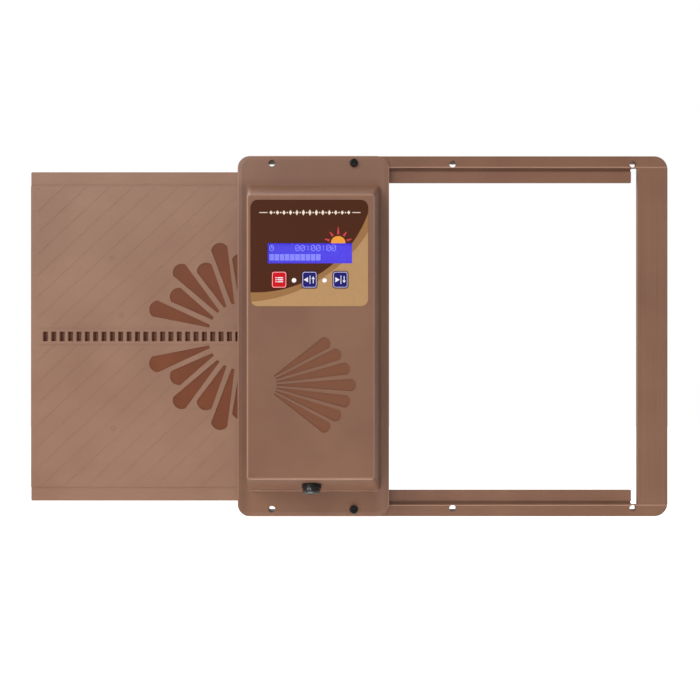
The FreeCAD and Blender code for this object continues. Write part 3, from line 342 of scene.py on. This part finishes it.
def door_paint(tree, point, base):
    """Painted shade in the rack's pockets, darker towards their floors, and the sunken ornament in a deeper
    brown.
    """
    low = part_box("door_panel")[0]
    x, y, z = axes(tree, point)
    height = calc(tree, "ABSOLUTE", z)
    bottom = low.y + SUNK
    sunk = inside(tree, y, bottom - 0.06 * MM, bottom + 0.1 * MM, 0.01 * MM)
    band = inside(tree, height, 6.6 * MM, 80 * MM)
    motif = calc(tree, "MULTIPLY", calc(tree, "MULTIPLY", sunk, band), inside(tree, x, *DOOR_MOTIF_X))
    tone = mix(tree, remap(tree, noise(tree, point, 40.0, 3.0), 0.35, 0.65), MOTIF_BROWN, MOTIF_SHADE)
    base = mix(tree, motif, base, tone)
    # painted shade in the rack's pockets, deepening from their mouths inwards
    pocket_floor = low.y + 2.9 * MM
    deep = calc(tree, "MULTIPLY", remap(tree, y, low.y + 0.15 * MM, low.y + 1.4 * MM),
                inside(tree, y, low.y, pocket_floor))
    along = inside(tree, x, low.x + 5 * MM, 0.0)
    row = calc(tree, "MULTIPLY", inside(tree, height, -1.0 * MM, 3.9 * MM), along)
    return mix(tree, calc(tree, "MULTIPLY", deep, row), base, POCKET_PAINTED_SHADE)


def cover_paint(tree, point, base):
    """The sunken fan in a redder brown, painted shade at the flange's left, painted light at its top and
    right, and painted highlights on the edges.
    """
    low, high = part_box("front_cover")
    x, y, z = axes(tree, point)
    sunk = inside(tree, y, low.y + SUNK / 2, low.y + SUNK * 1.5)
    fan = calc(tree, "MULTIPLY", sunk, inside(tree, z, *FAN_Z))
    base = mix(tree, fan, base, FAN_BROWN)
    flange = remap(tree, y, low.y + BOX_HEIGHT - 1.0 * MM, low.y + BOX_HEIGHT)
    # painted shade on the flange's left, and painted light on its right and top, standing in for how the
    # light falls past the box
    left = calc(tree, "MULTIPLY", flange, remap(tree, x, low.x + 5 * MM, low.x + 11 * MM, 0.30, 0.0))
    right = calc(tree, "MULTIPLY", flange, remap(tree, x, high.x - 11 * MM, high.x - 5 * MM, 0.0, 0.5))
    top = calc(tree, "MULTIPLY", flange, remap(tree, z, high.z - 24 * MM, high.z - 16 * MM, 0.0, 0.5))
    base = mix(tree, left, base, FLANGE_PAINTED_SHADE)
    base = mix(tree, calc(tree, "MAXIMUM", right, top), base, paler(COVER_BROWN, 1.35))
    # painted highlight on the box's rounded face edge and on the flange's outer rim
    return mix(tree, box_edge_highlights(tree, x, y, z), base, paler(COVER_BROWN, EDGE_HIGHLIGHT_TINT))


def frame_paint(tree, point, base):
    """A painted highlight along the inner edges of the rails' flanges, and faint streaks along the post."""
    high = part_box("door_frame")[1]
    x, y, z = axes(tree, point)
    height = calc(tree, "ABSOLUTE", z)
    # painted highlight: a thin paler line on each flange's inner edge
    line = calc(tree, "MULTIPLY", inside(tree, height, high.z - 8.9 * MM, high.z - 8.0 * MM),
                remap(tree, y, 0.5 * MM, 0.7 * MM, 1.0, 0.0))
    base = mix(tree, calc(tree, "MULTIPLY", line, 0.75), base, paler(FRAME_BROWN, EDGE_HIGHLIGHT_TINT))
    upright = noise(tree, stretched(tree, point, (420.0, 30.0, 9.0)), 1.0, 2.0)
    streak = remap(tree, upright, 0.35, 0.65, 0.0, 0.3)
    post = remap(tree, x, high.x - 24 * MM, high.x - 22 * MM)
    return mix(tree, calc(tree, "MULTIPLY", streak, post), base, paler(FRAME_BROWN, 1.2))


def box_edge_highlights(tree, x, y, z):
    """Where a highlight is painted: 1 on the rounded edge all round the box's face, and less on the
    flange's outermost edge.
    """
    low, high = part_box("front_cover")
    flange = low.y + BOX_HEIGHT
    across = calc(tree, "ABSOLUTE", calc(tree, "SUBTRACT", x, BOX_CENTRE_X))
    up = calc(tree, "ABSOLUTE", calc(tree, "SUBTRACT", z, BOX_CENTRE_Z))
    outside = calc(tree, "MAXIMUM", remap(tree, across, BOX_FACE_X - 1.3 * MM, BOX_FACE_X - 1.1 * MM),
                   remap(tree, up, BOX_FACE_Z - 1.7 * MM, BOX_FACE_Z - 1.3 * MM))
    edge = calc(tree, "MULTIPLY", outside, inside(tree, y, low.y + 0.03 * MM, low.y + 0.85 * MM, 0.1 * MM))
    middle = (low.x + high.x) / 2
    side = calc(tree, "ABSOLUTE", calc(tree, "SUBTRACT", x, middle))
    rim = calc(tree, "MAXIMUM", remap(tree, side, high.x - middle - 0.9 * MM, high.x - middle - 0.5 * MM),
               remap(tree, calc(tree, "ABSOLUTE", z), high.z - 0.9 * MM, high.z - 0.5 * MM))
    rim = calc(tree, "MULTIPLY", rim, inside(tree, y, flange, flange + 0.7 * MM))
    return calc(tree, "MAXIMUM", calc(tree, "MULTIPLY", edge, 0.6), calc(tree, "MULTIPLY", rim, 0.5))


# ---- mesh helpers ----
def prisms(name, outlines, front, depth, material, body):
    """One piece made of flat closed prisms: each outline is a list of (x, z) in metres."""
    shape = bmesh.new()
    for outline in outlines:
        near = [shape.verts.new((x, front, z)) for x, z in outline]
        far = [shape.verts.new((x, front + depth, z)) for x, z in outline]
        shape.faces.new(near)
        shape.faces.new(far[::-1])
        for i in range(len(outline)):
            j = (i + 1) % len(outline)
            shape.faces.new((near[i], far[i], far[j], near[j]))
    return finish_piece(name, shape, material, body)


def bands(name, rings, front, depth, material, body):
    """One piece made of flat closed rings: each is an outer and an inner outline with as many points."""
    shape = bmesh.new()
    for outer, inner in rings:
        back = front + depth
        loops = [[shape.verts.new((x, y, z)) for x, z in line]
                 for line, y in ((outer, front), (inner, front), (inner, back), (outer, back))]
        count = len(outer)
        for a, b in zip(loops, loops[1:] + loops[:1]):
            for i in range(count):
                j = (i + 1) % count
                shape.faces.new((a[i], b[i], b[j], a[j]))
    return finish_piece(name, shape, material, body)


def finish_piece(name, shape, material, body):
    """Turns a bmesh into a piece that rides on a body."""
    bmesh.ops.recalc_face_normals(shape, faces=shape.faces)
    mesh = bpy.data.meshes.new(name)
    shape.to_mesh(mesh)
    shape.free()
    piece = bpy.data.objects.new(name, mesh)
    bpy.context.scene.collection.objects.link(piece)
    mesh.materials.append(material)
    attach(piece, body)
    return piece


def circle(x, z, radius, count=24, start=0.0, sweep=360.0):
    """Points of a circle or of part of one."""
    steps = count if sweep == 360.0 else count + 1
    return [(x + radius * math.cos(math.radians(start + sweep * i / count)),
             z + radius * math.sin(math.radians(start + sweep * i / count))) for i in range(steps)]


def rounded(x, z, half_x, half_z, radius, steps=5):
    """Points of a rectangle with round corners."""
    points = []
    for sx, sz, start in ((1, 1, 0), (-1, 1, 90), (-1, -1, 180), (1, -1, 270)):
        points += circle(x + sx * (half_x - radius), z + sz * (half_z - radius), radius, steps, start, 90.0)
    return points


def block(x, z, half_x, half_z):
    """Points of a plain rectangle."""
    corners = ((-1, -1), (1, -1), (1, 1), (-1, 1))
    return [(x + sx * half_x, z + sz * half_z) for sx, sz in corners]


# ---- printing on the label ----
def label_ornament():
    """A row of lozenges and dots where a title would be, with a thin rule at each end."""
    low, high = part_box("control_label")
    front = low.y - SKIM
    centre, line = (low.x + high.x) / 2 + 0.4 * MM, high.z - 8.6 * MM
    outlines = []
    for i in range(-6, 7):
        x = centre + i * 4.4 * MM
        tall = (2.1 - 0.12 * abs(i)) * MM
        outlines.append([(x - 1.15 * MM, line), (x, line - tall), (x + 1.15 * MM, line), (x, line + tall)])
        if i < 6:
            outlines.append(circle(x + 2.2 * MM, line, 0.5 * MM, 12))
    for side in (-1, 1):
        outlines.append(block(centre + side * 31.6 * MM, line, 2.8 * MM, 0.28 * MM))
    prisms("label_ornament", outlines, front, SKIM, ink("ink_cream", CREAM), "frame")


def sunrise():
    """A plain half sun with short rays, on the display's top edge."""
    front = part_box("control_label")[0].y - SKIM
    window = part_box("display_window")[1]
    x, z = window.x - 11.5 * MM, window.z - 2.2 * MM
    disc = circle(x, z, 5.0 * MM, 28, 0.0, 180.0)
    prisms("sunrise_disc", [disc], front, SKIM, ink("ink_orange", SUN_ORANGE), "frame")
    rays = []
    for angle in (18, 54, 90, 126, 162):
        a = math.radians(angle)
        near, far, half = 6.2 * MM, (11.0 if angle == 90 else 9.6) * MM, 0.85 * MM
        along, across = (math.cos(a), math.sin(a)), (-math.sin(a), math.cos(a))
        rays.append([(x + along[0] * r + across[0] * w, z + along[1] * r + across[1] * w)
                     for r, w in ((near, -half), (far, -half * 0.35), (far, half * 0.35), (near, half))])
    prisms("sunrise_rays", rays, front, SKIM, ink("ink_red", SUN_RED), "frame")


# ---- the display's dots ----
DIGIT_ZERO = ("01110", "10001", "10011", "10101", "11001", "10001", "01110", "00000")
COLON = ("00000", "00100", "00100", "00000", "00100", "00100", "00000", "00000")
CLOCK = ("01110", "10101", "10101", "10111", "10001", "10001", "01110", "00000")
BAR = ("11111", "11111", "11111", "11111", "11111", "11111", "11111", "00000")


def display_dots():
    """A clock reading of zeros, and a progress bar under it, as square dots on the cell."""
    low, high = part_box("display_window")
    pitch, dot, step = 3.55 * MM, 0.27 * MM, 0.62 * MM
    left = low.x + 3.2 * MM
    rows = (high.z - 3.0 * MM, high.z - 9.4 * MM)
    reading = [CLOCK, None, None, None, None] + [DIGIT_ZERO, DIGIT_ZERO, COLON] * 2 + [DIGIT_ZERO] * 2
    outlines = []
    for top, glyphs in zip(rows, (reading, [BAR] * 10)):
        for column, glyph in enumerate(glyphs):
            if glyph is not None:
                outlines += glyph_dots(glyph, left + column * pitch, top, step, dot)
    thick = 0.03 * MM
    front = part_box("display_glass")[0].y - thick
    glow = lit("display_dot_glow", DISPLAY_DOT, 0.8)
    prisms("display_dots", outlines, front, thick, glow, "frame")


def glyph_dots(glyph, left, top, step, dot):
    """The dots of one character, from its top left."""
    return [block(left + i * step, top - line * step, dot, dot)
            for line, bits in enumerate(glyph) for i, bit in enumerate(bits) if bit == "1"]


# ---- key caps ----
def triangle(x, z, half, way):
    """A solid arrow head pointing along way, as (x, z)."""
    px, pz = way
    back_x, back_z = x - px * half * 0.7, z - pz * half * 0.7
    return [(x + px * half, z + pz * half), (back_x - pz * half, back_z + px * half),
            (back_x + pz * half, back_z - px * half)]


def key_print(name, icons):
    """A pale border and a white icon on one key's face."""
    low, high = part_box("key_" + name)
    x, z = (low.x + high.x) / 2, (low.z + high.z) / 2
    half_x, half_z = (high.x - low.x) / 2 - 1.5 * MM, (high.z - low.z) / 2
    body = name + "_key"
    front = low.y - SKIM / 2
    ring = (rounded(x, z, half_x - 0.38 * MM, half_z - 0.38 * MM, 1.5 * MM),
            rounded(x, z, half_x - 0.75 * MM, half_z - 0.75 * MM, 1.2 * MM))
    pale = ink(name + "_border_ink", srgb(250, 196, 196) if name == "menu" else srgb(214, 208, 240))
    bands(name + "_key_border", [ring], front, SKIM, pale, body)
    prisms(name + "_key_icon", icons(x, z), front, SKIM, ink(name + "_icon_ink", WHITE_INK), body)


def list_icon(x, z):
    """Three lines with a dot before each."""
    outlines = []
    for i in (-1, 0, 1):
        outlines.append(block(x + 0.75 * MM, z + i * 1.35 * MM, 1.9 * MM, 0.36 * MM))
        outlines.append(block(x - 2.1 * MM, z + i * 1.35 * MM, 0.4 * MM, 0.36 * MM))
    return outlines


def arrow_icon(side):
    """A sideways arrow head, a bar, and a thin upright arrow."""
    def make(x, z):
        stem = x + 2.5 * MM
        tip = z - side * 1.2 * MM
        head = triangle(x - 2.2 * MM, z, 1.75 * MM, (side, 0))
        bar = block(x + 0.35 * MM, z, 0.22 * MM, 2.9 * MM)
        shaft = block(stem, z + side * 0.9 * MM, 0.28 * MM, 1.5 * MM)
        return [head, bar, triangle(stem, tip, 1.05 * MM, (0, -side)), shaft]
    return make


# ---- moulding marks ----
def gate_marks():
    """Small round marks where the mould was fed."""
    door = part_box("door_panel")[0]
    places = [(door.x + 61 * MM, 59 * MM), (door.x + 62 * MM, -69 * MM), (door.x + 68 * MM, 16 * MM)]
    rings = [(circle(x, z, 1.6 * MM), circle(x, z, 1.15 * MM)) for x, z in places]
    look = MATERIALS["gate"]
    bands("door_gate_marks", rings, door.y - MARK_DEPTH, MARK_DEPTH + 0.01 * MM, look, "door")
    low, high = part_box("front_cover")
    spot = circle(BOX_CENTRE_X, high.z - 4.3 * MM, 0.8 * MM, 16)
    front = low.y + BOX_HEIGHT - 0.1 * MM
    prisms("cover_gate_mark", [spot], front, MARK_DEPTH, look, "frame")


MATERIALS = {
    "frame": moulded("frame_moulding", FRAME_BROWN, FRAME_RED, 0.42, frame_paint),
    "cover": moulded("cover_moulding", COVER_BROWN, COVER_RED, 0.40, cover_paint),
    "back": moulded("back_moulding", FRAME_BROWN, FRAME_RED, 0.5),
    "door": moulded("door_moulding", DOOR_BROWN, DOOR_RED, 0.46, door_paint),
    "gate": glossy("gate_mark", srgb(140, 104, 84), 0.35),
    "rubber": glossy("black_rubber", srgb(17, 17, 18), 0.5),
    "cap": glossy("cap_rubber", srgb(22, 22, 23), 0.2, coat=0.8),
    "black": glossy("black_moulding", srgb(15, 15, 16), 0.3),
    "black_oxide": metal("black_oxide", srgb(50, 51, 50), 0.3, (900, 900, 900)),
    "zinc": metal("zinc_plate", srgb(196, 200, 204), 0.32, (700, 700, 1500)),
    "steel": metal("bright_steel", srgb(205, 206, 208), 0.24, (1400, 1400, 300)),
    "nickel": metal("nickel_plate", srgb(190, 188, 184), 0.3, (60, 60, 2600)),
    "brass": metal("turned_brass", srgb(214, 178, 96), 0.28, (80, 80, 3000)),
    "board": board_material(),
    "label": label_material(),
    "display": display_material(),
    "lens": lens_material(),
    "guide": glossy("frosted_guide", srgb(225, 232, 245), 0.5),
    "lamp": lit("lamp_lens", srgb(255, 250, 246), 0.7),
    "red_key": glossy("red_key_plastic", KEY_RED, 0.34, 0.1, specular=0.15),
    "blue_key": glossy("blue_key_plastic", KEY_BLUE, 0.34, 0.15, specular=0.15),
    "acetal": glossy("acetal_pinion", srgb(232, 230, 222), 0.42, 0.05),
    "sleeve": glossy("capacitor_sleeve", srgb(32, 38, 84), 0.3),
    "terminal": glossy("terminal_green", srgb(38, 128, 70), 0.4),
    "red_lead": glossy("red_lead", srgb(176, 28, 28), 0.4),
    "black_lead": glossy("black_lead", srgb(28, 28, 28), 0.4),
}

NODE_LOOKS = {
    "frame": ["door_frame"],
    "cover": ["front_cover"],
    "back": ["back_plate"],
    "door": ["door_panel"],
    "rubber": ["cover_gasket", "socket_seal"],
    "cap": ["socket_cap"],
    "black": ["display_header", "board_chips", "cell_holder", "key_switches", "motor_end_cap",
              "power_socket", "display_bezel"],
    "black_oxide": ["cover_screws"],
    "zinc": ["back_screws", "board_screws", "gearbox_screws", "bracket_screws", "motor_bracket"],
    "steel": ["output_shaft", "pinion_set_screw", "socket_pin", "socket_tag", "motor_terminals",
              "socket_nut", "coin_cell"],
    "nickel": ["gearbox", "motor_can"],
    "brass": ["shaft_bush"],
    "board": ["display_board", "control_board"],
    "label": ["control_label"],
    "display": ["display_glass"],
    "lens": ["display_window"],
    "guide": ["display_backlight"],
    "lamp": ["status_lamps"],
    "red_key": ["key_menu"],
    "blue_key": ["key_open", "key_close"],
    "acetal": ["rack_pinion"],
    "sleeve": ["board_capacitors"],
    "terminal": ["board_terminals"],
    "red_lead": ["motor_leads"],
    "black_lead": ["power_leads"],
}


def dress_nodes():
    """Gives every CAD node its material."""
    for look, names in NODE_LOOKS.items():
        for name in names:
            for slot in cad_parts[name].material_slots:
                slot.material = MATERIALS[look]


# ---- studio ----
def studio():
    """A pale floor, an even room and four soft boxes, with the camera square on."""
    floor_shape = bmesh.new()
    bmesh.ops.create_grid(floor_shape, x_segments=1, y_segments=1, size=6.0)
    floor_mesh = bpy.data.meshes.new("floor")
    floor_shape.to_mesh(floor_mesh)
    floor_shape.free()
    floor = bpy.data.objects.new("floor", floor_mesh)
    floor.location = (0, 0, cad_bounds[0].z - FLOOR_DROP)
    bpy.context.scene.collection.objects.link(floor)
    floor_mesh.materials.append(floor_material())
    room()
    soft_box("key_light", (-1.05, -1.05, 0.85), 1.2, KEY_POWER)
    soft_box("low_light", (-0.15, -0.22, -0.75), 0.6, LOW_POWER)
    soft_box("front_light", (-0.05, -1.5, 0.10), 0.9, FILL_POWER)
    soft_box("rear_light", (-0.9, 1.5, 1.3), 1.4, REAR_POWER)
    camera = bpy.data.objects.new("camera", bpy.data.cameras.new("camera"))
    camera.data.lens = CAMERA_LENS
    camera.location = CAMERA_AT
    camera.rotation_euler = (math.radians(90), 0, 0)
    bpy.context.scene.collection.objects.link(camera)
    bpy.context.scene.camera = camera


def floor_material():
    """Matt near-white floor."""
    material, tree, shader = new_material("pale_floor")
    cloud = remap(tree, noise(tree, place(tree), 3.0), 0.3, 0.7)
    base = mix(tree, cloud, (0.52, 0.52, 0.52, 1), (0.48, 0.48, 0.48, 1))
    tree.links.new(base, shader.inputs["Base Color"])
    shader.inputs["Roughness"].default_value = 0.8
    seen = node(tree, "ShaderNodeLightPath", {}, {}).outputs["Is Camera Ray"]
    shader.inputs["Emission Color"].default_value = (1, 1, 1, 1)
    tree.links.new(remap(tree, seen, 0.0, 1.0, 0.1, 0.95), shader.inputs["Emission Strength"])
    return material


def room():
    """White to the camera; for the object, bright at its left, above and behind, and dim in front."""
    world = bpy.data.worlds.new("room")
    bpy.context.scene.world = world
    world.use_nodes = True
    tree = world.node_tree
    x, y, z = axes(tree, node(tree, "ShaderNodeTexCoord", {}, {}).outputs["Generated"])
    left, top = remap(tree, x, 0.3, -0.8, 0.0, LEFT_GLOW), remap(tree, z, 0.1, 0.9, 0.0, TOP_GLOW)
    glow = calc(tree, "ADD", left, top)
    glow = calc(tree, "ADD", glow, remap(tree, y, 0.1, 0.9, 0.0, BACK_GLOW))
    glow = calc(tree, "ADD", glow, BASE_GLOW)
    glow = calc(tree, "MULTIPLY", glow, remap(tree, y, -0.985, -0.88, FRONT_DIM, 1.0))
    seen = node(tree, "ShaderNodeLightPath", {}, {}).outputs["Is Camera Ray"]
    background = tree.nodes["Background"]
    background.inputs["Color"].default_value = (1, 1, 1, 1)
    tree.links.new(calc(tree, "MAXIMUM", glow, seen), background.inputs["Strength"])
    bpy.context.scene.view_settings.view_transform = "Standard"


def soft_box(name, at, size, power):
    """A square area light that faces the middle of the object."""
    lamp = bpy.data.objects.new(name, bpy.data.lights.new(name, "AREA"))
    lamp.data.size = size
    lamp.visible_camera = False
    lamp.data.energy = power
    lamp.location = at
    lamp.rotation_euler = (Vector((-0.05, 0, 0)) - Vector(at)).to_track_quat("-Z", "Y").to_euler()
    bpy.context.scene.collection.objects.link(lamp)


dress_nodes()
label_ornament()
sunrise()
display_dots()
key_print("menu", list_icon)
key_print("open", arrow_icon(-1))
key_print("close", arrow_icon(1))
gate_marks()
studio()
